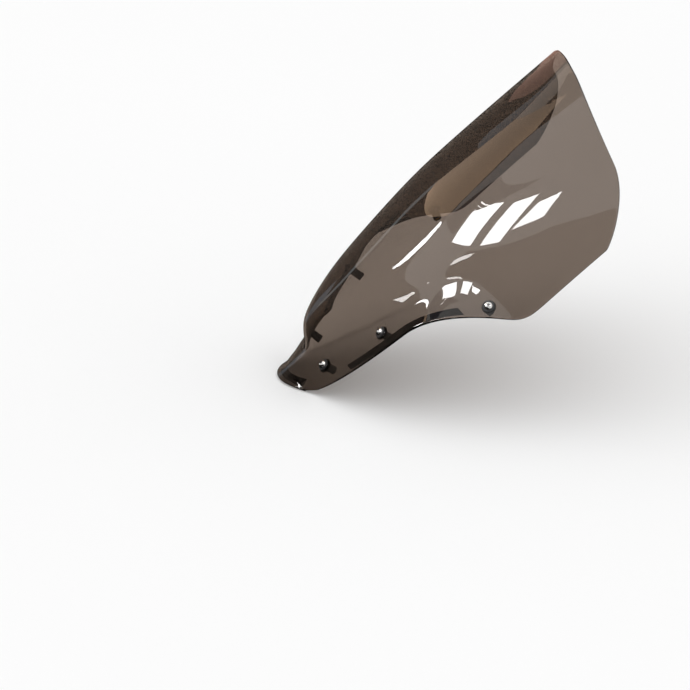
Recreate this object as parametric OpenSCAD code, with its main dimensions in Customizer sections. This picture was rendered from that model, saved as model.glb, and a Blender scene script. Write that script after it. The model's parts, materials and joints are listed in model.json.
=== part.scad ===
// Double-bubble windscreen for a fully faired sports motorcycle.
// A tinted acrylic panel, its six fixing sets and the foam cushions it sits on.
// Frame: +X runs to the rear, +Y to the rider's right hand, +Z up.
// The origin is the front tip of the nose tongue, on the outer face and the centre plane.
//
// The panel is a height field over a slanted base plane. In that plane l is the distance
// from the nose tip towards the top edge and t the distance from the centre plane.

/* [Panel outline] */
// Length along the centre line, from nose tip to top edge
screen_length = 486; // [460:0.5:510]
// Angle of the base plane above the horizontal
rake = 48.5; // [40:0.5:55]
// Greatest half-width, at the wings
wing_half = 199.5; // [190:0.5:212]
// Half-width where the nose tongue turns into the sides
nose_half = 50; // [46:1:54]
// How far the nose tongue's edge has swept back at its sides
nose_sweep = 15; // [12:0.5:18]
// How far the top edge has swept forward at its sides
top_sweep = 42.5; // [30:0.5:50]
// How much narrower the top edge is than the wings, on each side
corner_inset = 41; // [35:1:48]

/* [Panel shape] */
// Thickness of the acrylic sheet
sheet = 3; // [2.5:0.1:4]
// Height of the bubble's crown above the base plane
crown_rise = 24.8; // [20:0.2:27]
// Fall of the bubble from its crown to the edge of a wing
wing_drop = 130; // [120:1:140]
// Fall of the seat flange from its middle to its outer edge
flange_drop = 20; // [16:0.5:24]
// Steepness of the wall between the flange and the bubble
wall_slope = 1.25; // [1:0.05:1.4]

/* [Fixings] */
// Diameter of the fixing screws
screw_d = 5; // [5:1:5]
// Length of the screws under the head
screw_length = 16; // [14:1:18]
// Diameter of the hole drilled in the acrylic
hole_d = 8; // [8:0.1:8.4]
// Diameter of the rubber well nut's barrel
barrel_d = 9.5; // [9:0.1:10]
// Length of the rubber well nut's barrel
barrel_length = 13; // [12:0.5:14]

/* [Cushions] */
// Thickness of the self-adhesive foam
foam = 2; // [1.5:0.1:2.5]
// Width of the foam strips
foam_width = 9; // [7:0.5:10]

/* [Hidden] */
PLACES = ["front", "middle", "rear"];
SIDES = ["left", "right"];
FIXING_PARTS = ["fixing_screw", "collar_washer", "well_nut", "thread_insert"];

// Distance along the base plane and from the centre plane of each pair of fixings
fixing_l = [52, 130, 238];
fixing_t = [58, 112, 179];

// Growth of the half-width behind the nose
spread_gain = 4.5;
spread_power = 0.65;
spread_start = 4.65;
spread_blend = 5;
// Where the wings start to round into the top edge, and how squarely
corner_start = 370;
corner_power = 1.2;
tail_l = screen_length - top_sweep;
// Where the rounding stops, short of square, so that it runs on into the swept top edge
corner_pace = (wing_half - corner_inset) * (tail_l - corner_start)
    / (2 * top_sweep * corner_inset * corner_power);
corner_rest = 1 / (2 * corner_pace - 1);

// The bubble's wall climbs from a foot line that is a rounded V in plan
foot_start = 43;
foot_lean = 1.28;
foot_round = 30;
shoulder_blend = 13;
crease_blend = 4;
// The crown is level at first and then falls straight, past a soft knee
fall_start = 271;
fall_slope = 0.15;
fall_knee = 48;
// The bubble's cross-section falls away from the crown by a power curve
arch_half = 201.5;
arch_power = 2.5;
// The flange settles behind the nose and turns down where it meets the wings
nose_dip = 4.5;
nose_settle = 30;
turn_start = 150;
turn_gain = 0.0075;

// Grid of the panel, closer at both ends than in the middle
rows = 59;
columns = 51;
end_crowding = 0.7;
step = 0.01;

// Fixing details
washer_r = 6.5;
washer_t = 1.2;
collar_r = hole_d / 2 - 0.15;
collar_depth = sheet - 0.2;
screw_clear_r = screw_d / 2 + 0.1;
head_r = 4.75;
head_h = 2.75;
socket_af = 3;
socket_depth = 1.8;
pitch = 0.8;
thread_depth = 0.4;
rim_r = 8;
rim_t = 1.5;
rim_top = -sheet - 0.2;
barrel_top = rim_top - rim_t;
barrel_end = barrel_top - barrel_length;
barrel_chamfer = 0.8;
insert_r = 3.3;
insert_rib_r = 3.7;
insert_length = 8;
insert_end = barrel_end + barrel_chamfer;

function smooth_max(a, b, r) = (a + b + sqrt((a - b) ^ 2 + r ^ 2)) / 2;
function smooth_min(a, b, r) = (a + b - sqrt((a - b) ^ 2 + r ^ 2)) / 2;
function limit(x, low, high) = min(max(x, low), high);

// Half-width of the outline at l, a power curve that levels off and then rounds in
function spread(l) =
    nose_half + spread_gain * (pow(max(l - nose_sweep, 0) + spread_start, spread_power)
        - pow(spread_start, spread_power));
function corner(l) = limit((l - corner_start) / (tail_l - corner_start), 0, 1);
function rounding(l) =
    (1 - sqrt(1 - (1 - corner_rest ^ 2) * pow(corner(l), corner_power))) / (1 - corner_rest);
function half_width(l) =
    smooth_min(spread(l), wing_half, spread_blend) - corner_inset * rounding(l);

// Share of the half-width, held inside the outline's own length
function share(l, t) = abs(t) / half_width(limit(l, nose_sweep, tail_l));

// Heights above the base plane of the three surfaces that blend into the panel
function flat_seat(l, t) =
    -nose_dip * (1 - exp(-max(l, 0) / nose_settle))
        - flange_drop * share(l, t) ^ 2 * limit(0.55 + l / 60, 0, 1);
function flange(l, t) =
    flat_seat(l, t) - turn_gain * max(l - turn_start, 0) ^ 2 * share(l, t) ^ 4;
function foot(t) = foot_start + sqrt((foot_lean * t) ^ 2 + foot_round ^ 2) - foot_round;
function wall(l, t) = flat_seat(l, t) + wall_slope * (l - foot(t));
function crown(l) = crown_rise - fall_slope * smooth_max(l - fall_start, 0, fall_knee);
function bubble(l, t) = crown(l) - wing_drop * pow(abs(t) / arch_half, arch_power);
function height(l, t) =
    smooth_max(
        flange(l, t),
        smooth_min(bubble(l, t), wall(l, t), shoulder_blend),
        crease_blend
    );

// Outward normal in the base plane's own axes, from the slopes of the height field
function unit(v) = v / norm(v);
function normal(l, t) =
    unit([
        (height(l - step, t) - height(l + step, t)) / (2 * step),
        (height(l, t - step) - height(l, t + step)) / (2 * step),
        1
    ]);

// Turns [l, t, height] into the part's own axes
function to_frame(p) =
    [p[0] * cos(rake) - p[2] * sin(rake), p[1], p[0] * sin(rake) + p[2] * cos(rake)];
function on_panel(l, t, depth) = to_frame([l, t, height(l, t)] - depth * normal(l, t));

// Grid lines: u runs from the nose edge to the top edge, v from the left side to the right
function crowded(s) = s - end_crowding * sin(360 * s) / (2 * PI);
function side_l(u) = nose_sweep + (tail_l - nose_sweep) * u;
function grid_l(u, v) =
    nose_sweep * v ^ 2 + (screen_length - (nose_sweep + top_sweep) * v ^ 2) * u;
function grid_t(u, v) = v * half_width(side_l(u));
function grid_point(i, j, depth) =
    let (u = crowded(i / (rows - 1)), v = 2 * j / (columns - 1) - 1)
        on_panel(grid_l(u, v), grid_t(u, v), depth);

// Triangles of a closed slab whose upper grid comes first and whose lower grid follows
function slab_faces(m, n) =
    let (
        at = function(i, j) i * n + j,
        under = function(i, j) m * n + i * n + j
    )
    concat(
        [for (i = [0:m - 2], j = [0:n - 2]) each [
            [at(i, j), at(i, j + 1), at(i + 1, j + 1)],
            [at(i, j), at(i + 1, j + 1), at(i + 1, j)],
            [under(i, j), under(i + 1, j + 1), under(i, j + 1)],
            [under(i, j), under(i + 1, j), under(i + 1, j + 1)]
        ]],
        [for (i = [0:m - 2]) each [
            [at(i, 0), at(i + 1, 0), under(i + 1, 0)],
            [at(i, 0), under(i + 1, 0), under(i, 0)],
            [at(i, n - 1), under(i + 1, n - 1), at(i + 1, n - 1)],
            [at(i, n - 1), under(i, n - 1), under(i + 1, n - 1)]
        ]],
        [for (j = [0:n - 2]) each [
            [at(0, j), under(0, j + 1), at(0, j + 1)],
            [at(0, j), under(0, j), under(0, j + 1)],
            [at(m - 1, j), at(m - 1, j + 1), under(m - 1, j + 1)],
            [at(m - 1, j), under(m - 1, j + 1), under(m - 1, j)]
        ]]
    );

// Sign of a side: left is -Y
function hand(side) = side == "left" ? -1 : 1;

// Puts its children at a fixing, with +Z along the panel's outward normal
module at_fixing(place, side) {
    k = search([place], PLACES)[0];
    l = fixing_l[k];
    t = hand(side) * fixing_t[k];
    out = to_frame(normal(l, t));
    translate(on_panel(l, t, 0))
        rotate([0, acos(out[2]), atan2(out[1], out[0])])
            children();
}

module screen_panel() {
    points = concat(
        [for (i = [0:rows - 1], j = [0:columns - 1]) grid_point(i, j, 0)],
        [for (i = [0:rows - 1], j = [0:columns - 1]) grid_point(i, j, sheet)]
    );
    color([0.42, 0.37, 0.33, 0.55])
        difference() {
            polyhedron(points, slab_faces(rows, columns));
            for (place = PLACES, side = SIDES)
                at_fixing(place, side)
                    translate([0, 0, -3 * sheet])
                        cylinder(h = 5 * sheet, d = hole_d, $fn = 48);
        }
}

// Foam strip under the flange between two stations, set in from the outline
module side_cushion(side) {
    first_l = 74;
    last_l = 214;
    set_in = 4;
    m = 29;
    n = 3;
    strip = function(i, j, depth)
        let (l = first_l + (last_l - first_l) * i / (m - 1))
        let (t = half_width(l) - set_in - foam_width * (hand(side) < 0 ? 1 - j / (n - 1) : j / (n - 1)))
            on_panel(l, hand(side) * t, depth);
    points = concat(
        [for (i = [0:m - 1], j = [n - 1:-1:0]) strip(i, j, sheet)],
        [for (i = [0:m - 1], j = [n - 1:-1:0]) strip(i, j, sheet + foam)]
    );
    color([0.09, 0.09, 0.1]) polyhedron(points, slab_faces(m, n));
}

// Foam strip that follows the round front of the tongue
module nose_cushion() {
    m = 3;
    n = 25;
    set_in = 4;
    reach = 0.86;
    points_at = function(depth)
        [for (i = [0:m - 1], j = [0:n - 1])
            let (v = reach * (2 * j / (n - 1) - 1))
                on_panel(nose_sweep * v ^ 2 + set_in + foam_width * i / (m - 1), nose_half * v, depth)
        ];
    color([0.09, 0.09, 0.1])
        polyhedron(concat(points_at(sheet), points_at(sheet + foam)), slab_faces(m, n));
}

// Button-head socket screw with a ridged shank
module fixing_screw(place, side) {
    seat = washer_t;
    crest = screw_d / 2;
    root = crest - thread_depth;
    tip = seat - screw_length;
    turns = floor((screw_length - 2) / pitch);
    dome = (head_r ^ 2 + head_h ^ 2) / (2 * head_h) - head_h;
    color([0.78, 0.79, 0.8])
        at_fixing(place, side)
            difference() {
                union() {
                    rotate_extrude($fn = 48)
                        polygon(concat(
                            [[0, seat], [head_r, seat]],
                            [for (a = [0:6:72])
                                [
                                    max(sqrt(max((head_h + dome) ^ 2 - (dome + head_h * a / 72) ^ 2, 0)), 0),
                                    seat + 0.25 + (head_h - 0.25) * a / 72
                                ]
                            ],
                            [[0, seat + head_h]]
                        ));
                    rotate_extrude($fn = 32)
                        polygon(concat(
                            [[0, seat + 0.1], [crest, seat + 0.1]],
                            [for (k = [0:turns - 1]) each [
                                [crest, seat - 1 - k * pitch],
                                [root, seat - 1 - (k + 0.5) * pitch]
                            ]],
                            [[root, tip], [0, tip]]
                        ));
                }
                translate([0, 0, seat + head_h - socket_depth])
                    cylinder(h = socket_depth + 1, d = socket_af / cos(30), $fn = 6);
            }
}

// Nylon washer whose collar lines the hole in the acrylic
module collar_washer(place, side) {
    color([0.07, 0.07, 0.08])
        at_fixing(place, side)
            difference() {
                union() {
                    cylinder(h = washer_t, r = washer_r, $fn = 48);
                    translate([0, 0, -collar_depth])
                        cylinder(h = collar_depth + washer_t / 2, r = collar_r, $fn = 48);
                }
                translate([0, 0, -collar_depth - 1])
                    cylinder(h = collar_depth + washer_t + 2, r = screw_clear_r, $fn = 48);
            }
}

// Outline of the brass insert, with two ribs that the rubber grips
module insert_profile() {
    polygon([
        [screw_d / 2 + 0.05, insert_end],
        [insert_r, insert_end],
        [insert_r, insert_end + 1],
        [insert_rib_r, insert_end + 1.5],
        [insert_rib_r, insert_end + 2.5],
        [insert_r, insert_end + 3],
        [insert_r, insert_end + 5],
        [insert_rib_r, insert_end + 5.5],
        [insert_rib_r, insert_end + 6.5],
        [insert_r, insert_end + 7],
        [insert_r, insert_end + insert_length],
        [screw_d / 2 + 0.05, insert_end + insert_length]
    ]);
}

module thread_insert(place, side) {
    color([0.8, 0.62, 0.25])
        at_fixing(place, side)
            rotate_extrude($fn = 48) insert_profile();
}

// Rubber nut: a rim between panel and cowl, and a barrel that swells in the cowl's hole
module well_nut(place, side) {
    barrel_r = barrel_d / 2;
    color([0.13, 0.13, 0.14])
        at_fixing(place, side)
            difference() {
                union() {
                    translate([0, 0, barrel_top])
                        cylinder(h = rim_t, r = rim_r, $fn = 48);
                    translate([0, 0, barrel_end + barrel_chamfer])
                        cylinder(h = barrel_length - barrel_chamfer, r = barrel_r, $fn = 48);
                    translate([0, 0, barrel_end])
                        cylinder(
                            h = barrel_chamfer,
                            r1 = barrel_r - barrel_chamfer,
                            r2 = barrel_r,
                            $fn = 48
                        );
                }
                translate([0, 0, barrel_end - 1])
                    cylinder(h = barrel_length + rim_t + 2, r = screw_clear_r, $fn = 48);
                translate([0, 0, barrel_end - 1])
                    cylinder(h = barrel_chamfer + 1, r = insert_r, $fn = 48);
                rotate_extrude($fn = 48) {
                    insert_profile();
                    translate([1, insert_end])
                        square([insert_r - 1, insert_length]);
                }
            }
}

module fixing_part(part, place, side) {
    if (part == "fixing_screw") fixing_screw(place, side);
    if (part == "collar_washer") collar_washer(place, side);
    if (part == "well_nut") well_nut(place, side);
    if (part == "thread_insert") thread_insert(place, side);
}

screen_panel();
nose_cushion();
for (side = SIDES)
    side_cushion(side);
for (part = FIXING_PARTS, place = PLACES, side = SIDES)
    fixing_part(part, place, side);
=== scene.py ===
# %% [markdown]
# # A smoked double-bubble windscreen
#
# The object is the windscreen of a fully faired sports motorcycle. One sheet of
# acrylic, 3 mm thick, is heated and blown into a raised bubble with a narrow flange
# round its front. Six screws in rubber well nuts hold it to the bike's nose cowl, and
# foam strips keep it off the paint.
#
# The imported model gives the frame: every piece here is built in metres, in place.
# `+X` runs to the rear, `+Y` to the rider's right and `+Z` up.

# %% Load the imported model
import json
import math

import bmesh
import bpy
import numpy as np
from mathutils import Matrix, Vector


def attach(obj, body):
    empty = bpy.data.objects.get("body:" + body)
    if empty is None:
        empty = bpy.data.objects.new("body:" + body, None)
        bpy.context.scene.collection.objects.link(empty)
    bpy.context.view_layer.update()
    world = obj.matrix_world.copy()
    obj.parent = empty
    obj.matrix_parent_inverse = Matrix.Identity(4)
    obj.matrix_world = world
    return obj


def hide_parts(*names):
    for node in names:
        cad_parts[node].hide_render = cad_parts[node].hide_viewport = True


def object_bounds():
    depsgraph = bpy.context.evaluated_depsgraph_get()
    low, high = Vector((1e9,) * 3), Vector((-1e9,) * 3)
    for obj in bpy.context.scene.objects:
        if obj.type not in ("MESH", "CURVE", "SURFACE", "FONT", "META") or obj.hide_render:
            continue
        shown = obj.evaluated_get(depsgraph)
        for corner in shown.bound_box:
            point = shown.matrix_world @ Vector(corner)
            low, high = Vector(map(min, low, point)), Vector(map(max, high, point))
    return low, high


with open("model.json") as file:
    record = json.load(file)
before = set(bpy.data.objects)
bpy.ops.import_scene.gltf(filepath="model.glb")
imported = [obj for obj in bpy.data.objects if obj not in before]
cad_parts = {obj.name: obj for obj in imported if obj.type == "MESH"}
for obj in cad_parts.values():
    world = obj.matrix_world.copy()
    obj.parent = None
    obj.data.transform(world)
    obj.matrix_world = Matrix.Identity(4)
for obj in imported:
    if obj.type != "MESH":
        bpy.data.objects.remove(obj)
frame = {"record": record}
CAD_BOX = [list(corner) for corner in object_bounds()]
BODY = "root"
MM = 0.001
print("CAD box, metres:", CAD_BOX)

# %% [markdown]
# ## Camera
#
# A long lens from five metres away keeps the near wing and the far wing almost the same
# size, as they are in a studio shot of a bike. The camera stands a little ahead of
# square to the screen's left side and looks down on it. It aims at a point below and
# ahead of the screen's middle, because the screen sits high in such a picture.

# %% Camera
CAMERA_AZIMUTH = math.radians(-9)
CAMERA_ELEVATION = math.radians(20)
CAMERA_DISTANCE = 5.0
CAMERA_REACH = 60
LENS_MM = 229.6
SENSOR_MM = 36
AIM_RIGHT = 0.0761
AIM_UP = 0.0341

camera_back = Vector((
    math.sin(CAMERA_AZIMUTH) * math.cos(CAMERA_ELEVATION),
    -math.cos(CAMERA_AZIMUTH) * math.cos(CAMERA_ELEVATION),
    math.sin(CAMERA_ELEVATION),
))
camera_right = Vector((math.cos(CAMERA_AZIMUTH), math.sin(CAMERA_AZIMUTH), 0))
camera_up = camera_back.cross(camera_right)
aim = camera_right * AIM_RIGHT + camera_up * AIM_UP

camera_data = bpy.data.cameras.new("camera")
camera_data.lens = LENS_MM
camera_data.sensor_width = SENSOR_MM
camera_data.clip_end = CAMERA_REACH
camera = bpy.data.objects.new("camera", camera_data)
camera.location = aim + camera_back * CAMERA_DISTANCE
camera.rotation_euler = (-camera_back).to_track_quat("-Z", "Y").to_euler()
bpy.context.scene.collection.objects.link(camera)
bpy.context.scene.camera = camera
print("camera at", [round(c, 3) for c in camera.location])

# %% [markdown]
# ## Shader arithmetic
#
# A material is a small program. Wrapping a socket in a class whose operators add Math
# nodes lets that program be written as ordinary expressions, such as `1 - mask * 0.3`.
# Every other node comes from one method, which sets the node's own settings first and
# then its sockets.

# %% Sockets that can be added and multiplied
MIX_FACTOR, MIX_LOW, MIX_HIGH, MIX_COLOUR_OUT = 0, 6, 7, 2
BLEND_FACTOR, BLEND_LOW, BLEND_HIGH = 0, 1, 2


class Wire:
    """An output socket; arithmetic on it adds Math nodes to its tree."""

    def __init__(self, tree, socket):
        self.tree = tree
        self.socket = socket

    def math(self, operation, other, swapped=False):
        """One Math node: operation on this wire and a number or another wire."""
        node = self.tree.nodes.new("ShaderNodeMath")
        node.operation = operation
        first, second = (other, self) if swapped else (self, other)
        plug(self.tree, node.inputs[0], first)
        plug(self.tree, node.inputs[1], second)
        return Wire(self.tree, node.outputs[0])

    def __add__(self, other):
        return self.math("ADD", other)

    def __rsub__(self, other):
        return self.math("SUBTRACT", other, swapped=True)

    def __mul__(self, other):
        return self.math("MULTIPLY", other)

    def __pow__(self, other):
        return self.math("POWER", other)

    __radd__ = __add__


def plug(tree, socket, value):
    """Links a wire to a socket, or sets the socket to a plain value."""
    if isinstance(value, Wire):
        tree.links.new(value.socket, socket)
    else:
        socket.default_value = value


class Finish:
    """A material under construction, with one Principled shader."""

    def __init__(self, name):
        self.material = bpy.data.materials.new(name)
        self.material.use_nodes = True
        self.tree = self.material.node_tree
        self.shader = self.tree.nodes["Principled BSDF"]

    def add(self, kind, sockets=(), out=0, **settings):
        """Adds a node of a kind, its settings first and then its sockets."""
        node = self.tree.nodes.new("ShaderNode" + kind)
        for key, value in settings.items():
            setattr(node, key, value)
        for key, value in dict(sockets).items():
            plug(self.tree, node.inputs[key], value)
        return Wire(self.tree, node.outputs[out])

    def set(self, **sockets):
        """Sets the shader's sockets; an underscore in a name stands for a space."""
        for key, value in sockets.items():
            plug(self.tree, self.shader.inputs[key.replace("_", " ")], value)

    def place(self, kind="Object"):
        """The wire of a piece's own coordinates: Object, or UV where there is a map."""
        return self.add("TexCoord", out=kind)

    def noise(self, per_metre, detail, roughness=0.5):
        """Fractal noise between 0 and 1 at a number of features per metre."""
        return self.add("TexNoise", {
            "Vector": self.place(), "Scale": per_metre, "Detail": detail, "Roughness": roughness,
        })

    def mix(self, mask, low, high):
        """A colour between two colours, by a mask from 0 to 1."""
        sockets = {MIX_FACTOR: mask, MIX_LOW: low, MIX_HIGH: high}
        return self.add("Mix", sockets, out=MIX_COLOUR_OUT, data_type="RGBA")

    def bump(self, height, strength, distance):
        """A normal tilted by a height map, with its distance in metres."""
        return self.add("Bump", {"Height": height, "Strength": strength, "Distance": distance})


# %% [markdown]
# ## Smoked acrylic
#
# Cast acrylic is a clear plastic with a refractive index of 1.49. The smoke dye takes
# out most of the light and a little more of the blue, so what is seen through one wall
# looks warm grey, and through two walls almost brown. A Principled shader with full
# transmission on a real 3 mm wall does this physically: the colour is the share of
# light that crosses the wall, and the rim lights up as a polished edge does.
#
# Blown sheet is never quite flat. A long, very shallow wave bends the reflections, and
# a thin film of handling marks changes the gloss a little.

# %% Smoked acrylic finish
SMOKE_TINT = (0.196, 0.154, 0.126, 1)
SMOKE_TINT_DEEP = (0.184, 0.144, 0.116, 1)
ACRYLIC_INDEX = 1.49
ACRYLIC_GLOSS = 0.004
MARKS_DULLING = 0.05
WAVE_STRENGTH = 0.12
WAVE_HEIGHT = 0.0008


def smoked_acrylic():
    """Tinted glass-clear plastic; noise bends the wall and dulls it in soft patches."""
    finish = Finish("smoked_acrylic")
    cloud = finish.noise(per_metre=9.0, detail=2.0)
    marks = finish.noise(per_metre=55.0, detail=6.0, roughness=0.65)
    wave = finish.noise(per_metre=14.0, detail=1.0)
    finish.set(
        Base_Color=finish.mix(cloud, SMOKE_TINT, SMOKE_TINT_DEEP),
        Roughness=ACRYLIC_GLOSS + marks ** 4 * MARKS_DULLING,
        Normal=finish.bump(wave, WAVE_STRENGTH, WAVE_HEIGHT),
        Transmission_Weight=1.0,
        IOR=ACRYLIC_INDEX,
    )
    return finish.material


ACRYLIC = smoked_acrylic()
print("acrylic passes", SMOKE_TINT[:3], "of the light")

# %% [markdown]
# ## Metal, nylon, rubber and foam
#
# The screws are stainless steel with turning marks: rings less than a tenth of a
# millimetre apart, laid by a stretched noise on the piece's own UV map, where U goes
# round the axis and V along the profile. Brass has the same marks, a little duller.
# Nylon and rubber are moulded, so they carry a fine even grain. The foam is
# closed-cell, which shows as tiny round pits.

# %% Small-part finishes
TURNING_STRETCH = (1.5, 240.0, 1.0)
TURNING_DULLING = 0.14
STAIN_SHARE = 0.8
DUST_SHARE = 1.6
GRAIN_DULLING = 0.12
FOAM_ROUGHNESS = 0.92
FOAM_CELLS_PER_METRE = 1400.0
FOAM_DARK = (0.022, 0.022, 0.024, 1)
FOAM_PALE = (0.075, 0.075, 0.078, 1)


def turned_metal(name, colour, dull_colour, gloss):
    """Metal cut on a lathe: streaks along V only, so they run round the axis."""
    finish = Finish(name)
    stretched = finish.add("Mapping", {"Vector": finish.place("UV"), "Scale": TURNING_STRETCH})
    streaks = finish.add("TexNoise", {"Vector": stretched, "Scale": 1.0, "Detail": 3.0})
    stain = finish.noise(per_metre=300.0, detail=4.0)
    finish.set(
        Base_Color=finish.mix(stain * STAIN_SHARE, colour, dull_colour),
        Metallic=1.0,
        Roughness=gloss + streaks * TURNING_DULLING,
        Normal=finish.bump(streaks, strength=0.25, distance=0.00004),
    )
    return finish.material


def moulded(name, colour, worn_colour, roughness, grain_per_metre, grain_depth):
    """Moulded plastic or rubber: even grain in the normal, pale dust in soft patches."""
    finish = Finish(name)
    grain = finish.noise(grain_per_metre, detail=2.0)
    dust = finish.noise(per_metre=140.0, detail=5.0, roughness=0.7)
    finish.set(
        Base_Color=finish.mix(dust ** 3 * DUST_SHARE, colour, worn_colour),
        Roughness=roughness + grain * GRAIN_DULLING,
        Normal=finish.bump(grain, strength=0.5, distance=grain_depth),
    )
    return finish.material


def closed_cell_foam():
    """Foam: cells of a Voronoi pattern pit the surface, and each is darkest in its middle."""
    finish = Finish("closed_cell_foam")
    cells = finish.add("TexVoronoi", {"Vector": finish.place(), "Scale": FOAM_CELLS_PER_METRE})
    finish.set(
        Base_Color=finish.mix(cells, FOAM_DARK, FOAM_PALE),
        Roughness=FOAM_ROUGHNESS - cells * 0.1,
        Normal=finish.bump(cells, strength=0.7, distance=0.0002),
    )
    return finish.material


STEEL = turned_metal(
    "stainless_steel", colour=(0.74, 0.73, 0.72, 1), dull_colour=(0.56, 0.55, 0.54, 1), gloss=0.12
)
BRASS = turned_metal(
    "machined_brass", colour=(0.80, 0.58, 0.24, 1), dull_colour=(0.52, 0.35, 0.14, 1), gloss=0.20
)
NYLON = moulded(
    "black_nylon", colour=(0.016, 0.016, 0.018, 1), worn_colour=(0.06, 0.06, 0.06, 1),
    roughness=0.38, grain_per_metre=2600.0, grain_depth=0.00003,
)
RUBBER = moulded(
    "black_rubber", colour=(0.02, 0.02, 0.021, 1), worn_colour=(0.09, 0.088, 0.085, 1),
    roughness=0.62, grain_per_metre=1800.0, grain_depth=0.00006,
)
FOAM = closed_cell_foam()
print("finishes:", [m.name for m in (ACRYLIC, STEEL, BRASS, NYLON, RUBBER, FOAM)])

# %% [markdown]
# ## The blown shape as a function
#
# A slanted base plane runs from the nose tip to the top edge. Every point of the sheet
# has a distance `l` along that plane, a distance `t` from the centre plane and a height
# above it. Three simple surfaces give the height: the seat flange, the steep wall that
# climbs from a rounded V, and the bubble's long arch. A smooth maximum and a smooth
# minimum join them, and the joint's radius is the softness of the crease and of the
# shoulder. The drawing uses the same formulas, so the looks and the fit agree.

# %% Sizes of the panel, in millimetres
SCREEN_LENGTH = 486.0
RAKE = math.radians(48.5)
WING_HALF = 199.5
NOSE_HALF = 50.0
NOSE_SWEEP = 15.0
TOP_SWEEP = 42.5
TAIL_L = SCREEN_LENGTH - TOP_SWEEP
SHEET = 3.0

SPREAD_RATE = 4.5
SPREAD_LEAD = 4.65
SPREAD_POWER = 0.65
SPREAD_BLEND = 5.0
CORNER_START = 370.0
CORNER_INSET = 41.0
CORNER_POWER = 1.2
CORNER_PACE = (
    (WING_HALF - CORNER_INSET) * (TAIL_L - CORNER_START)
    / (2 * TOP_SWEEP * CORNER_INSET * CORNER_POWER)
)
CORNER_REST = 1 / (2 * CORNER_PACE - 1)

FLANGE_DROP = 20.0
FLANGE_NOSE_SHARE = 0.55
FLANGE_FULL_AFTER = 60.0
DIP_DEPTH = 4.5
DIP_LENGTH = 30.0
TURN_START = 150.0
TURN_RATE = 0.0075

FOOT_START = 43.0
FOOT_SPREAD = 1.28
FOOT_ROUND = 30.0
WALL_SLOPE = 1.25

CROWN_RISE = 24.8
WING_DROP = 130.0
FALL_START = 271.0
FALL_SLOPE = 0.15
FALL_KNEE = 48.0
ARCH_HALF = 201.5
ARCH_POWER = 2.5
SHOULDER_BLEND = 13.0
CREASE_BLEND = 4.0
SLOPE_STEP = 0.01


# %% Height of the sheet above its base plane
def smooth_max(a, b, r):
    """Half the sum, plus half the length of the pair (difference, r)."""
    return (a + b + np.sqrt((a - b) ** 2 + r * r)) / 2


def smooth_min(a, b, r):
    """Half the sum, less half the length of the pair (difference, r)."""
    return (a + b - np.sqrt((a - b) ** 2 + r * r)) / 2


def half_width(l):
    """A power curve levels off at the wings; an arc cut short then meets the top edge."""
    behind_nose = np.maximum(l - NOSE_SWEEP, 0) + SPREAD_LEAD
    spread = NOSE_HALF + SPREAD_RATE * (behind_nose ** SPREAD_POWER - SPREAD_LEAD ** SPREAD_POWER)
    corner = np.clip((l - CORNER_START) / (TAIL_L - CORNER_START), 0, 1)
    rounding = 1 - np.sqrt(1 - (1 - CORNER_REST ** 2) * corner ** CORNER_POWER)
    inset = CORNER_INSET * rounding / (1 - CORNER_REST)
    return smooth_min(spread, WING_HALF, SPREAD_BLEND) - inset


def width_share(l, t):
    """How far out a point is: 0 on the centre plane and 1 on the outline."""
    return np.abs(t) / half_width(np.clip(l, NOSE_SWEEP, TAIL_L))


def seat(l, t):
    """The flange before it turns down: a dip behind the nose and a parabola across."""
    dip = DIP_DEPTH * (1 - np.exp(-np.maximum(l, 0) / DIP_LENGTH))
    growth = np.clip(FLANGE_NOSE_SHARE + l / FLANGE_FULL_AFTER, 0, 1)
    return -dip - FLANGE_DROP * width_share(l, t) ** 2 * growth


def flange(l, t):
    """The seat, with its outer edge turning down where it runs into the wings."""
    return seat(l, t) - TURN_RATE * np.maximum(l - TURN_START, 0) ** 2 * width_share(l, t) ** 4


def wall(l, t):
    """A plane slope that starts at a foot line, a V in plan with a round point."""
    foot = FOOT_START + np.sqrt((FOOT_SPREAD * t) ** 2 + FOOT_ROUND ** 2) - FOOT_ROUND
    return seat(l, t) + WALL_SLOPE * (l - foot)


def bubble(l, t):
    """A level crown that bends into a steady fall, less a power curve across."""
    crown = CROWN_RISE - FALL_SLOPE * smooth_max(l - FALL_START, 0, FALL_KNEE)
    return crown - WING_DROP * (np.abs(t) / ARCH_HALF) ** ARCH_POWER


def height(l, t):
    """Flange or bubble, whichever is higher, where the wall limits the bubble."""
    dome = smooth_min(bubble(l, t), wall(l, t), SHOULDER_BLEND)
    return smooth_max(flange(l, t), dome, CREASE_BLEND)


# %% From the base plane to the frame
def on_panel(l, t, depth=0.0):
    """Point of the sheet at (l, t), pushed in by depth along the normal, in metres."""
    l, t = np.broadcast_arrays(np.asarray(l, float), np.asarray(t, float))
    rise_l = height(l + SLOPE_STEP, t) - height(l - SLOPE_STEP, t)
    rise_t = height(l, t + SLOPE_STEP) - height(l, t - SLOPE_STEP)
    slope_l, slope_t = rise_l / (2 * SLOPE_STEP), rise_t / (2 * SLOPE_STEP)
    out = np.stack([-slope_l, -slope_t, np.ones_like(slope_l)], -1)
    out /= np.linalg.norm(out, axis=-1, keepdims=True)
    p = np.stack([l, t, height(l, t)], -1) - np.asarray(depth)[..., None] * out
    return to_frame(p) * MM, to_frame(out)


def to_frame(p):
    """Turns (l, t, height) into x, y, z by the rake of the base plane."""
    c, s = math.cos(RAKE), math.sin(RAKE)
    l, t, h = p[..., 0], p[..., 1], p[..., 2]
    return np.stack([l * c - h * s, t, l * s + h * c], -1)


nose_tip, nose_normal = on_panel(0.0, 0.0)
print("nose tip at", np.round(nose_tip, 4), "facing", np.round(nose_normal, 3))

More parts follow.
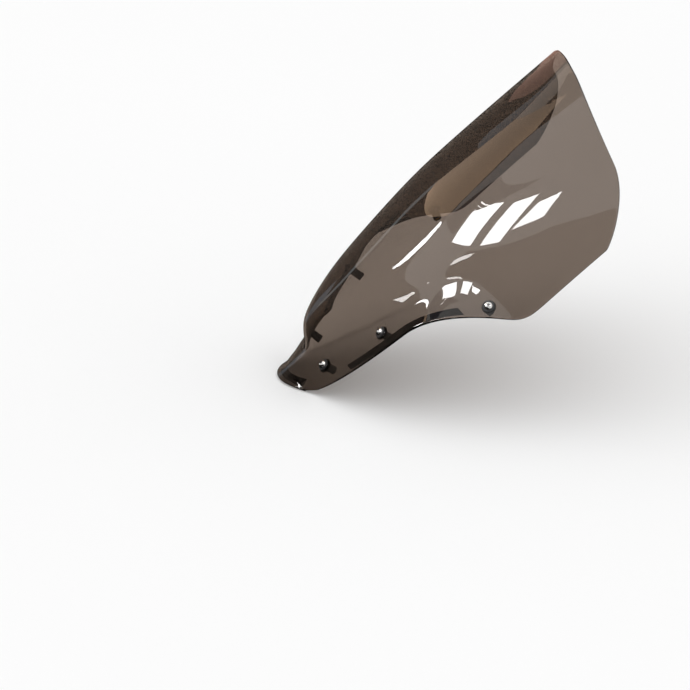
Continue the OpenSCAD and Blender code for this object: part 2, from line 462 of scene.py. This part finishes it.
# %% [markdown]
# ## Meshes from arrays
#
# Every new piece is a grid of points computed as whole arrays. One helper turns a grid
# into quads, closing it round one way where the surface is a tube or a turned shape,
# and another gives the quads to Blender with smooth shading and a UV map.

# %% Grid and mesh helpers
def grid_quads(rows, columns, wrap=False, start=0):
    """Corner numbers of the quads of a grid; wrap joins the last column to the first."""
    i, j = np.meshgrid(
        np.arange(rows - 1), np.arange(columns if wrap else columns - 1), indexing="ij"
    )
    k = (j + 1) % columns
    row, next_row = i * columns, (i + 1) * columns
    quads = np.stack([row + j, row + k, next_row + k, next_row + j], -1)
    return quads.reshape(-1, 4) + start


def make_mesh(name, points, quads, material, uv=None):
    """A smooth-shaded object from points, quads and one UV pair per quad corner."""
    mesh = bpy.data.meshes.new(name)
    mesh.vertices.add(len(points))
    mesh.vertices.foreach_set("co", np.ascontiguousarray(points, np.float32).ravel())
    mesh.loops.add(quads.size)
    mesh.loops.foreach_set("vertex_index", np.ascontiguousarray(quads, np.int32).ravel())
    mesh.polygons.add(len(quads))
    mesh.polygons.foreach_set("loop_start", np.arange(0, quads.size, 4, dtype=np.int32))
    mesh.polygons.foreach_set("use_smooth", np.ones(len(quads), bool))
    mesh.update(calc_edges=True)
    mesh.validate()
    if uv is not None:
        layer = mesh.uv_layers.new(name="UVMap")
        layer.uv.foreach_set("vector", np.ascontiguousarray(uv, np.float32).ravel())
    mesh.materials.append(material)
    piece = bpy.data.objects.new(name, mesh)
    bpy.context.scene.collection.objects.link(piece)
    return piece


def stand_for(piece, node):
    """The piece joins the body and takes its CAD node's place; the node is hidden."""
    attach(piece, BODY)
    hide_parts(node)
    return piece


# %% [markdown]
# ## The screen panel
#
# The panel could be the drawing's own mesh, but its facets would show in every
# reflection. It is made again from the same formulas on a finer grid. The outer face
# and the inner face are two grids, and rings of points carry one round to the other
# over a rounded, polished edge.

# %% Outer face, inner face and polished edge
PANEL_ROWS = 221
PANEL_COLUMNS = 161
PANEL_CROWDING = 0.7
EDGE_RINGS = 9
EDGE_SWELL = 0.8
EDGE_FULLNESS = 0.6


def crowded(s, amount):
    """0 to 1, closer together at both ends: s less a share of one sine wave."""
    return s - amount * np.sin(2 * math.pi * s) / (2 * math.pi)


def panel_grid():
    """l and t on the grid: rows sweep back at the nose and forward at the top."""
    u = crowded(np.linspace(0, 1, PANEL_ROWS), PANEL_CROWDING)[:, None]
    v = np.linspace(-1, 1, PANEL_COLUMNS)[None, :]
    l = NOSE_SWEEP * v ** 2 + (SCREEN_LENGTH - (NOSE_SWEEP + TOP_SWEEP) * v ** 2) * u
    t = v * half_width(NOSE_SWEEP + (TAIL_L - NOSE_SWEEP) * u)
    return l, t


def rim_numbers(rows, columns):
    """Point numbers of a grid's border, once round."""
    n = np.arange(rows * columns).reshape(rows, columns)
    return np.concatenate([n[0, :-1], n[:-1, -1], n[-1, :0:-1], n[:0:-1, 0]])


def screen_panel():
    """Two faces a sheet apart, joined by half rings that swell outwards."""
    l, t = panel_grid()
    outer, normal = on_panel(l, t)
    inner, _ = on_panel(l, t, SHEET)
    rim = rim_numbers(*l.shape)
    top = outer.reshape(-1, 3)[rim]
    under = inner.reshape(-1, 3)[rim]
    along = np.roll(top, -1, 0) - np.roll(top, 1, 0)
    outward = np.cross(along, normal.reshape(-1, 3)[rim])
    outward /= np.linalg.norm(outward, axis=1, keepdims=True)
    outward *= np.sign(np.sum(outward * (top - outer.reshape(-1, 3).mean(0)), 1).mean())
    angle = np.linspace(math.pi / 2, -math.pi / 2, EDGE_RINGS + 2)[1:-1, None, None]
    rings = (
        (top + under) / 2
        + (top - under) / 2 * np.sin(angle)
        + outward * EDGE_SWELL * MM * np.cos(angle) ** EDGE_FULLNESS
    )
    count = l.size
    points = np.concatenate([face.reshape(-1, 3) for face in (outer, inner, rings)])
    ring_numbers = 2 * count + np.arange(EDGE_RINGS * len(rim)).reshape(EDGE_RINGS, -1)
    belt = np.concatenate([rim[None], ring_numbers, rim[None] + count])
    faces = grid_quads(*l.shape)
    strip = grid_quads(len(belt), len(rim), wrap=True)
    quads = np.concatenate([faces[:, ::-1], faces + count, belt.ravel()[strip]])
    return make_mesh("screen_panel_skin", points, quads, ACRYLIC)


panel = screen_panel()
print("panel:", len(panel.data.vertices), "points")

# %% [markdown]
# ## Where the fixings go
#
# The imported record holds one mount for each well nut: a point on its axis and the way
# the cowl leaves it. The place of a fixing on the outer face follows from that, so the
# record, and not this script, says where the holes are.

# %% Axes of the six fixings
# Each mount lies this many millimetres below the sheet's outer face.
MOUNT_DEPTH = 10.8
PLACES = ("front", "middle", "rear")
SIDES = ("left", "right")
mounts = {mount["name"]: mount for mount in frame["record"]["mounts"]}


def fixing_axes(place, side):
    """The hole's centre on the outer face, and three axes with the last one outwards."""
    mount = mounts[f"{place}_{side}_cowl_hole"]
    out = -np.array(mount["axis"], float)
    out /= np.linalg.norm(out)
    centre = np.array(mount["pos_m"], float) + MOUNT_DEPTH * MM * out
    across = np.cross([0.0, 0.0, 1.0], out)
    across /= np.linalg.norm(across)
    return centre, np.stack([across, np.cross(out, across), out])


for place in PLACES:
    print(place, np.round(fixing_axes(place, "left")[0], 4))


# %% Drill the panel
HOLE_R = 4.0
PLUG_BOTTOM = -9.0
PLUG_TOP = 6.0
PLUG_SIDES = 64
PLUG_PIP_R = 0.04


def plug_rows():
    """Four rings of a round plug: its two rims and a tiny pip at the middle of each end."""
    angle = np.linspace(0, 2 * math.pi, PLUG_SIDES, endpoint=False)
    circle = np.stack([np.cos(angle), np.sin(angle)], -1)
    return np.concatenate([
        np.concatenate([circle * r, np.full((PLUG_SIDES, 1), z)], 1)
        for z, r in ((PLUG_BOTTOM, PLUG_PIP_R), (PLUG_BOTTOM, HOLE_R),
                     (PLUG_TOP, HOLE_R), (PLUG_TOP, PLUG_PIP_R))
    ])


def pip_quads(first, turn):
    """A fan of quads over one pip; turn is -1 to face the other way."""
    k = np.arange(0, PLUG_SIDES - 2, 2)
    fan = np.stack([0 * k, k + 1, k + 2, k + 3], -1) + first
    return fan[:, ::turn]


def drill_panel():
    """Takes six round plugs out of the panel and gives back its new number of points."""
    rows = plug_rows()
    plug_points, plug_quads = [], []
    for place in PLACES:
        for side in SIDES:
            centre, axes = fixing_axes(place, side)
            start = len(rows) * len(plug_points)
            plug_points.append(centre + rows * MM @ axes)
            plug_quads.append(grid_quads(4, PLUG_SIDES, wrap=True, start=start))
            plug_quads.append(pip_quads(start, -1))
            plug_quads.append(pip_quads(start + 3 * PLUG_SIDES, 1))
    plugs = make_mesh(
        "drill_plugs", np.concatenate(plug_points), np.concatenate(plug_quads), ACRYLIC
    )
    cut = panel.modifiers.new("drill", "BOOLEAN")
    cut.operation = "DIFFERENCE"
    cut.solver = "EXACT"
    cut.object = plugs
    shown = panel.evaluated_get(bpy.context.evaluated_depsgraph_get())
    drilled = bpy.data.meshes.new_from_object(shown)
    panel.modifiers.clear()
    panel.data = drilled
    bpy.data.objects.remove(plugs)
    return len(drilled.vertices)


print("drilled panel:", drill_panel(), "points")
stand_for(panel, "screen_panel")

# %% [markdown]
# ## Floor and light
#
# The screen is shown on a pale floor under an even, cloudy brightness, which is how a
# tinted, glossy thing is lit so that its edge reads dark against the ground.
#
# Gloss shows only what stands around a piece, so a studio surrounds it with cards, each
# a patch of a sphere round the screen:
#
# - three windows, a slit, a sill and a low streak ahead of the bike draw the bright
#   lines that tell how the sheet bends;
# - a tan card shades the flank, and tip, red and slate cards shade the crown's rear;
# - a crease card and a nose glow lift the front, and a dark pane frames the windows;
# - black flags on a slightly larger sphere keep the rest of the gloss dark.
#
# The cards act on gloss alone, so they throw no light or shadow on the floor, and gloss
# doesn't see the floor, whose far edge would draw a line across the panel. A card turns
# black for light that has crossed the acrylic, so it shows in the first reflection only.

# %% Floor
FLOOR_GAP = 0.0006
FLOOR_Z = CAD_BOX[0][2] - FLOOR_GAP
FLOOR_HALF = 20.0
FLOOR_DARK = (0.925, 0.925, 0.925, 1)
FLOOR_PALE = (0.94, 0.94, 0.94, 1)


def pale_floor():
    """One large flat quad with a faint, even mottle."""
    corners = [[x * FLOOR_HALF, y * FLOOR_HALF, FLOOR_Z]
               for x, y in ((-1, -1), (1, -1), (1, 1), (-1, 1))]
    finish = Finish("pale_floor")
    mottle = finish.noise(per_metre=1.4, detail=2.0)
    finish.set(
        Base_Color=finish.mix(mottle, FLOOR_DARK, FLOOR_PALE),
        Roughness=0.6,
        Specular_IOR_Level=0.0,
    )
    floor = make_mesh("floor", np.array(corners), np.array([[0, 1, 2, 3]]), finish.material)
    floor.visible_glossy = False


pale_floor()

# %% Studio cards
CARD_DISTANCE = 0.65
FLAG_DISTANCE = 0.72
CARD_CENTRE = np.array([0.19, 0.0, 0.20])
CARD_COLUMNS = 40
CARD_ROWS_PER_CUT = 4
CARD_UNSEEN_BY = ("camera", "diffuse", "transmission", "volume_scatter", "shadow")
WHITE = (1.0, 1.0, 1.0)
WINDOW_RADIANCE = 24.0
STREAK_RADIANCE = 14.0
FLAG_RADIANCE = 0.01


def show_first_gloss_only(finish):
    """Black for light that has crossed the acrylic: a transmission depth over a half."""
    crossed = finish.add("LightPath", out="Transmission Depth")
    shown = finish.add("MixShader", {
        BLEND_FACTOR: crossed.math("GREATER_THAN", 0.5),
        BLEND_LOW: Wire(finish.tree, finish.shader.outputs[0]),
        BLEND_HIGH: finish.add("Emission", {"Strength": 0.0}),
    })
    plug(finish.tree, finish.tree.nodes["Material Output"].inputs["Surface"], shown)
    finish.material.cycles.emission_sampling = "NONE"


def card_finish(name, radiance, start_colour, end_colour):
    """A glow that runs from one colour to the other along the azimuth."""
    finish = Finish(name)
    across = finish.add("SeparateXYZ", {"Vector": finish.place("UV")})
    finish.set(
        Base_Color=(0, 0, 0, 1),
        Roughness=1.0,
        Specular_IOR_Level=0.0,
        Emission_Color=finish.mix(across, (*start_colour, 1), (*end_colour, 1)),
        Emission_Strength=radiance,
    )
    show_first_gloss_only(finish)
    return finish.material


def card(name, radiance, cuts, start_colour=WHITE, end_colour=None, distance=CARD_DISTANCE):
    """Part of a sphere; each cut is an elevation and the azimuths where it starts and ends."""
    elevation, start, end = np.array(cuts, float).T
    fine = np.linspace(0, 1, CARD_ROWS_PER_CUT * len(cuts))
    knots = np.linspace(0, 1, len(cuts))
    s = np.linspace(0, 1, CARD_COLUMNS)[None, :]
    e = np.radians(np.interp(fine, knots, elevation))[:, None]
    a0 = np.interp(fine, knots, start)[:, None]
    a1 = np.interp(fine, knots, end)[:, None]
    a = np.radians(a0 + (a1 - a0) * s)
    sphere = np.stack([np.cos(e) * np.cos(a), np.cos(e) * np.sin(a), np.sin(e) + 0 * a], -1)
    points = (CARD_CENTRE + sphere * distance).reshape(-1, 3)
    quads = grid_quads(len(fine), CARD_COLUMNS)
    uv = np.stack([s[0][quads % CARD_COLUMNS], fine[quads // CARD_COLUMNS]], -1)
    material = card_finish(name, radiance, start_colour, end_colour or start_colour)
    sheet = make_mesh(name, points, quads, material, uv)
    for ray in CARD_UNSEEN_BY:
        setattr(sheet, "visible_" + ray, False)


def black_card(name, cuts):
    """A flag behind the other cards, which gloss sees as nearly black."""
    card(name, FLAG_RADIANCE, cuts, distance=FLAG_DISTANCE)


# %% The windows and their frames
card("window_1", WINDOW_RADIANCE, [(36.6, 190.9, 207.6), (48.2, 181.0, 202.5)])
card("window_2", WINDOW_RADIANCE, [(36.4, 213.8, 223.3), (47.3, 210.5, 221.8)])
card("window_3", WINDOW_RADIANCE, [(39.3, 224.3, 234.3), (44.6, 226.0, 233.5)])
card("window_slit", WINDOW_RADIANCE, [
    (23.8, 160.8, 162.0), (25.8, 162.0, 165.3), (28.0, 162.5, 167.4),
    (32.0, 163.5, 168.4), (34.0, 162.9, 167.6), (36.8, 161.9, 165.6),
])
card("window_sill", STREAK_RADIANCE, [
    (31.2, 203.0, 204.2), (32.2, 203.8, 207.5), (33.2, 206.4, 212.0), (34.3, 211.6, 214.4),
])
card("low_streak", STREAK_RADIANCE, [
    (-1.0, 194.9, 196.1), (12.7, 193.6, 195.0), (20.5, 193.0, 194.5), (27.0, 196.0, 197.2),
])
print("windows at radiance", WINDOW_RADIANCE)

# %% Coloured cards
card("tan_card", 1.15, [
    (19.0, 115.0, 119.0), (24.0, 114.0, 131.0), (29.0, 113.0, 142.0), (34.0, 111.0, 152.0),
    (39.1, 115.5, 162.9), (45.4, 120.5, 157.7), (48.7, 122.3, 152.8), (51.2, 124.5, 147.4),
    (54.6, 128.0, 145.0),
], start_colour=(1.0, 0.74, 0.54), end_colour=(1.85, 1.28, 0.85))
card("crease_card", 0.5, [
    (-4.0, 127.0, 129.5), (6.0, 121.5, 124.5), (12.0, 117.0, 120.5), (16.0, 115.5, 119.0),
    (19.0, 114.5, 117.5),
], start_colour=(0.85, 0.95, 1.0))
card("tip_card", 0.8, [
    (34.0, 100.0, 111.0), (39.1, 101.5, 115.5), (45.4, 103.0, 120.5), (48.0, 104.0, 122.0),
], start_colour=(0.75, 0.66, 0.60), end_colour=(1.15, 1.0, 0.88))
card("red_card", 0.65, [
    (-2.0, 55.0, 68.0), (5.0, 60.0, 75.5), (10.0, 64.0, 81.0), (15.0, 70.0, 90.0),
    (20.0, 76.0, 96.0), (25.0, 80.0, 98.0), (29.0, 85.0, 99.5), (33.0, 88.0, 100.0),
], start_colour=(1.1, 0.58, 0.44), end_colour=(0.5, 0.28, 0.22))
card("slate_card", 0.3, [
    (24.0, 105.0, 108.0), (28.0, 103.0, 113.0), (33.5, 101.0, 113.0),
], start_colour=(0.8, 0.9, 1.0))
card("nose_glow", 0.3, [
    (-19.0, 128.0, 140.0), (-12.0, 126.0, 141.0), (-6.0, 122.0, 134.0), (-2.0, 121.0, 128.0),
], start_colour=(0.6, 0.8, 1.0))
card("dark_pane", 0.15, [
    (38.5, 164.5, 186.0), (45.0, 166.0, 181.5), (49.5, 168.0, 201.0), (52.0, 172.0, 214.0),
], start_colour=(0.5, 0.7, 1.0))
print("coloured cards on a sphere of", CARD_DISTANCE, "m")

# %% Black flags
black_card("black_flag", [
    (-50.0, 40.0, 204.0), (-20.0, 40.0, 204.0), (0.0, 40.0, 203.0), (12.0, 40.0, 202.0),
    (23.0, 40.0, 200.0), (25.5, 40.0, 182.0), (28.0, 40.0, 171.0), (34.0, 45.0, 166.0),
    (38.0, 50.0, 164.0), (43.0, 55.0, 159.5), (48.0, 60.0, 154.0), (51.0, 65.0, 148.0),
    (54.0, 70.0, 145.5), (58.0, 80.0, 147.0), (62.0, 90.0, 148.0),
])
black_card("under_flag", [(-89.5, 0.0, 360.0), (-70.0, 0.0, 360.0), (-50.0, 0.0, 360.0)])
black_card("side_flag", [
    (-50.0, 204.0, 400.0), (-25.0, 204.0, 400.0), (-20.0, 204.0, 272.0),
    (0.0, 203.0, 268.0), (20.0, 202.0, 266.0), (30.5, 201.0, 262.0), (35.5, 208.0, 240.0),
])
print("flags on a sphere of", FLAG_DISTANCE, "m")

# %% Sky
SKY_STRENGTH = 1.05

world = bpy.data.worlds.new("cloudy_sky")
bpy.context.scene.world = world
world.use_nodes = True
sky = world.node_tree.nodes["Background"]
sky.inputs["Color"].default_value = (*WHITE, 1)
sky.inputs["Strength"].default_value = SKY_STRENGTH
bpy.context.scene.view_settings.view_transform = "Standard"
print("sky strength:", SKY_STRENGTH)

# %% [markdown]
# ## Turned parts
#
# Screw, washer, well nut and insert are all made on a lathe or in a round mould. Each is
# a profile of radius and height carried once round the fixing's axis. The radius may
# also depend on the angle, which gives the hexagon of the screw's socket and the helix
# of its thread without any cutting.

# %% Lathe
LATHE_SIDES = 64
ARC_POINTS = 4
ARC_LARGEST_SHARE = 0.45
V_PER_MM = 0.05
MERGE_DISTANCE = 1e-7
SHORTEST_EDGE = 1e-8


def rounded_profile(corners, radius):
    """A profile through corners (r, z) whose inner corners become short round arcs."""
    corners = np.array(corners, float)
    rows = [corners[0]]
    for before, at, after in zip(corners[:-2], corners[1:-1], corners[2:]):
        back, ahead = before - at, after - at
        back_length, ahead_length = np.linalg.norm(back), np.linalg.norm(ahead)
        reach = min(radius, back_length * ARC_LARGEST_SHARE, ahead_length * ARC_LARGEST_SHARE)
        a = at + back / back_length * reach
        b = at + ahead / ahead_length * reach
        s = np.linspace(0, 1, ARC_POINTS)[:, None]
        rows.extend((1 - s) ** 2 * a + 2 * s * (1 - s) * at + s ** 2 * b)
    rows.append(corners[-1])
    return np.array(rows)


def lathe(name, profile, place, side, material, shape=None):
    """Carries (r, z) once round a fixing's axis; shape(r, z, angle) may change the radius."""
    centre, axes = fixing_axes(place, side)
    angle = np.linspace(0, 2 * math.pi, LATHE_SIDES, endpoint=False)[None, :]
    r = np.repeat(profile[:, :1], LATHE_SIDES, 1)
    z = np.repeat(profile[:, 1:], LATHE_SIDES, 1)
    if shape:
        r = shape(r, z, angle)
    local = np.stack([r * np.cos(angle), r * np.sin(angle), z], -1) * MM
    points = centre + local.reshape(-1, 3) @ axes
    quads = grid_quads(len(profile), LATHE_SIDES, wrap=True)
    run = np.concatenate([[0], np.cumsum(np.linalg.norm(np.diff(profile, axis=0), axis=1))])
    i, j = quads // LATHE_SIDES, quads % LATHE_SIDES
    j = np.where((j == 0) & (quads[:, :1] % LATHE_SIDES > 0), LATHE_SIDES, j)
    uv = np.stack([j / LATHE_SIDES, run[i] * V_PER_MM], -1)
    piece = make_mesh(name, points, quads, material, uv)
    merge_poles(piece)
    return piece


def merge_poles(piece):
    """Joins the points that meet on the axis, so the surface closes."""
    mesh = bmesh.new()
    mesh.from_mesh(piece.data)
    bmesh.ops.remove_doubles(mesh, verts=mesh.verts, dist=MERGE_DISTANCE)
    bmesh.ops.dissolve_degenerate(mesh, edges=mesh.edges, dist=SHORTEST_EDGE)
    bmesh.ops.recalc_face_normals(mesh, faces=mesh.faces)
    mesh.to_mesh(piece.data)
    mesh.free()


# %% Screws
WASHER_T = 1.2
SCREW_R = 2.5
SCREW_LENGTH = 16.0
SCREW_TIP = WASHER_T - SCREW_LENGTH
HEAD_R = 4.75
HEAD_H = 2.75
HEAD_TOP = WASHER_T + HEAD_H
HEAD_EDGE = 0.35
HEAD_CROWN_R = 2.3
SOCKET_FLAT = 1.5
SOCKET_R = 1.55
SOCKET_DEPTH = 1.8
SOCKET_FLOOR = HEAD_TOP - SOCKET_DEPTH
PITCH = 0.8
THREAD_DEPTH = 0.45
THREAD_RUN_OUT = 0.8
TIP_TAPER = 0.3
TAPER_BELOW = -5.0
SHANK_ROWS = 160
DOME_ROWS = 14


def screw_profile():
    """From the shank's tip up to the head's dome and down into the socket."""
    tip, top, floor = SCREW_TIP, HEAD_TOP, SOCKET_FLOOR
    shank = np.linspace(tip + 0.9, WASHER_T - 1.0, SHANK_ROWS)
    dome = np.linspace(0, 1, DOME_ROWS) * math.pi / 2
    dome_r = HEAD_R - (HEAD_R - HEAD_CROWN_R) * (1 - np.cos(dome))
    dome_z = WASHER_T + HEAD_EDGE + (HEAD_H - HEAD_EDGE) * np.sin(dome)
    return np.concatenate([
        [[0.0, tip], [1.55, tip], [1.75, tip + 0.12]],
        np.stack([np.full_like(shank, SCREW_R), shank], -1),
        [[SCREW_R, WASHER_T - 0.05], [SCREW_R + 0.15, WASHER_T]],
        [[HEAD_R - 0.15, WASHER_T], [HEAD_R, WASHER_T + 0.12]],
        np.stack([dome_r, dome_z], -1),
        [[1.95, top], [1.75, top - 0.05], [SOCKET_R, top - 0.3], [1.54, floor + 0.1]],
        [[1.48, floor], [0.8, floor - 0.35], [0.0, floor - 0.6]],
    ])


def screw_shape(r, z, angle):
    """The radius where a helical groove cuts the shank and the socket is a hexagon."""
    turn = np.mod(z / PITCH - angle / (2 * math.pi), 1.0)
    groove = THREAD_DEPTH * (1 - np.abs(2 * turn - 1)) ** 0.9
    shank_top = WASHER_T - THREAD_RUN_OUT
    from_tip = np.clip((z - SCREW_TIP - 0.2) / THREAD_RUN_OUT, 0, 1)
    threaded = from_tip * np.clip((shank_top - z) / THREAD_RUN_OUT, 0, 1)
    shank = (z < shank_top) & (r > SCREW_R - 0.01)
    taper = (1 - threaded) * TIP_TAPER * (z < TAPER_BELOW)
    r = np.where(shank, r - groove * threaded - taper, r)
    hexagon = SOCKET_FLAT / np.cos(np.mod(angle, math.pi / 3) - math.pi / 6)
    socket = (z > SOCKET_FLOOR - 0.01) & (z < HEAD_TOP - 0.1) & (r < SOCKET_R + 0.05)
    return np.where(socket, r / SOCKET_R * hexagon, r)


# %% Washers, well nuts and inserts
BORE_R = 2.6
WASHER_R = 6.5
COLLAR_R = 3.85
COLLAR_END = -2.8
RIM_R = 8.0
BARREL_R = 4.75
RIM_TOP = -SHEET - 0.2
BARREL_TOP = RIM_TOP - 1.5
BARREL_END = BARREL_TOP - 13.0
INSERT_END = BARREL_END + 0.8
INSERT_TOP = INSERT_END + 7.8
INSERT_R = 3.25
INSERT_BORE_R = 2.56
POCKET_R = 3.32
POCKET_TOP = INSERT_END + 7.9

WASHER_PROFILE = rounded_profile([
    (BORE_R, -1.0), (BORE_R, WASHER_T), (WASHER_R, WASHER_T), (WASHER_R, 0.0),
    (COLLAR_R, 0.0), (COLLAR_R, COLLAR_END), (BORE_R, COLLAR_END), (BORE_R, -1.0),
], radius=0.3)
WELL_NUT_PROFILE = rounded_profile([
    (BORE_R, BARREL_TOP), (BORE_R, RIM_TOP), (RIM_R, RIM_TOP), (RIM_R, BARREL_TOP),
    (BARREL_R, BARREL_TOP), (BARREL_R, BARREL_END), (POCKET_R, BARREL_END),
    (POCKET_R, POCKET_TOP), (BORE_R, POCKET_TOP), (BORE_R, BARREL_TOP),
], radius=0.55)
INSERT_PROFILE = rounded_profile([
    (INSERT_BORE_R, INSERT_END + 4.0), (INSERT_BORE_R, INSERT_TOP), (INSERT_R, INSERT_TOP),
    (INSERT_R, INSERT_END), (2.75, INSERT_END), (INSERT_BORE_R, INSERT_END + 0.3),
    (INSERT_BORE_R, INSERT_END + 4.0),
], radius=0.12)


def dress_fixing(place, side):
    """The four turned pieces of one fixing set, each standing for its CAD node."""
    where = f"{place}_{side}"
    for part, profile, material, slot, shape in (
        ("fixing_screw", screw_profile(), STEEL, "stainless_screw", screw_shape),
        ("collar_washer", WASHER_PROFILE, NYLON, "black_nylon", None),
        ("well_nut", WELL_NUT_PROFILE, RUBBER, "black_rubber", None),
        ("thread_insert", INSERT_PROFILE, BRASS, "brass_insert", None),
    ):
        piece = lathe(f"{part}_{where}_turned", profile, place, side, material, shape=shape)
        stand_for(piece, f"{part}_{where}")


for place in PLACES:
    for side in SIDES:
        dress_fixing(place, side)
print("fixing sets:", len(PLACES) * len(SIDES))

# %% [markdown]
# ## Foam cushions
#
# The foam comes on a roll, so each strip has a constant section with slightly rounded
# corners. The section is a closed loop of distances across the strip and below the
# sheet, carried along a line that keeps its distance from the panel's edge.

# %% Strips that follow the flange
FOAM_T = 2.0
FOAM_WIDTH = 9.0
FOAM_SET_IN = 4.0
FOAM_GLUE = 0.02
FOAM_LINE_IN = FOAM_SET_IN + FOAM_WIDTH / 2
FOAM_STEPS = 120
FOAM_END_SIZE = 0.85
FOAM_END_ROUND = 0.0004
SECTION_POINTS = 28
SECTION_POWER = 0.35
SIDE_STRIP_START = 74.0
SIDE_STRIP_RUN = 140.0
NOSE_STRIP_SHARE = 0.86


def section_loop():
    """A rounded rectangle from -1 to 1 each way: cosine and sine raised to a power."""
    angle = np.linspace(0, 2 * math.pi, SECTION_POINTS, endpoint=False)
    c, s = np.cos(angle), np.sin(angle)
    return np.sign(c) * np.abs(c) ** SECTION_POWER, np.sign(s) * np.abs(s) ** SECTION_POWER


def foam_strip(name, node, line):
    """line(s, across) gives l and t; the section shrinks to nothing at both ends."""
    across, deep = section_loop()
    s = np.linspace(0, 1, FOAM_STEPS)[1:-1]
    s = np.concatenate([[0, 0, FOAM_END_ROUND], s, [1 - FOAM_END_ROUND, 1, 1]])[:, None]
    size = np.ones_like(s)
    size[[0, -1]] = 0.0
    size[[1, -2]] = FOAM_END_SIZE
    l, t = line(s, across[None, :] * size * FOAM_WIDTH / 2)
    depth = SHEET + FOAM_GLUE + FOAM_T / 2 - deep[None, :] * size * FOAM_T / 2
    points, _ = on_panel(l, t, depth)
    quads = grid_quads(len(s), len(across), wrap=True)
    piece = make_mesh(name, points.reshape(-1, 3), quads, FOAM)
    merge_poles(piece)
    return stand_for(piece, node)


def side_line(sign):
    """A line that keeps its distance from a side of the outline."""
    def line(s, across):
        l = SIDE_STRIP_START + SIDE_STRIP_RUN * s
        return np.broadcast_arrays(l, sign * (half_width(l) - FOAM_LINE_IN + across))
    return line


def nose_line(s, across):
    """A line that keeps its distance behind the round nose."""
    v = NOSE_STRIP_SHARE * (2 * s - 1)
    l = NOSE_SWEEP * v ** 2 + FOAM_LINE_IN + across
    return np.broadcast_arrays(l, NOSE_HALF * v)


foam_strip("side_cushion_left_foam", "side_cushion_left", side_line(-1))
foam_strip("side_cushion_right_foam", "side_cushion_right", side_line(1))
foam_strip("nose_cushion_foam", "nose_cushion", nose_line)
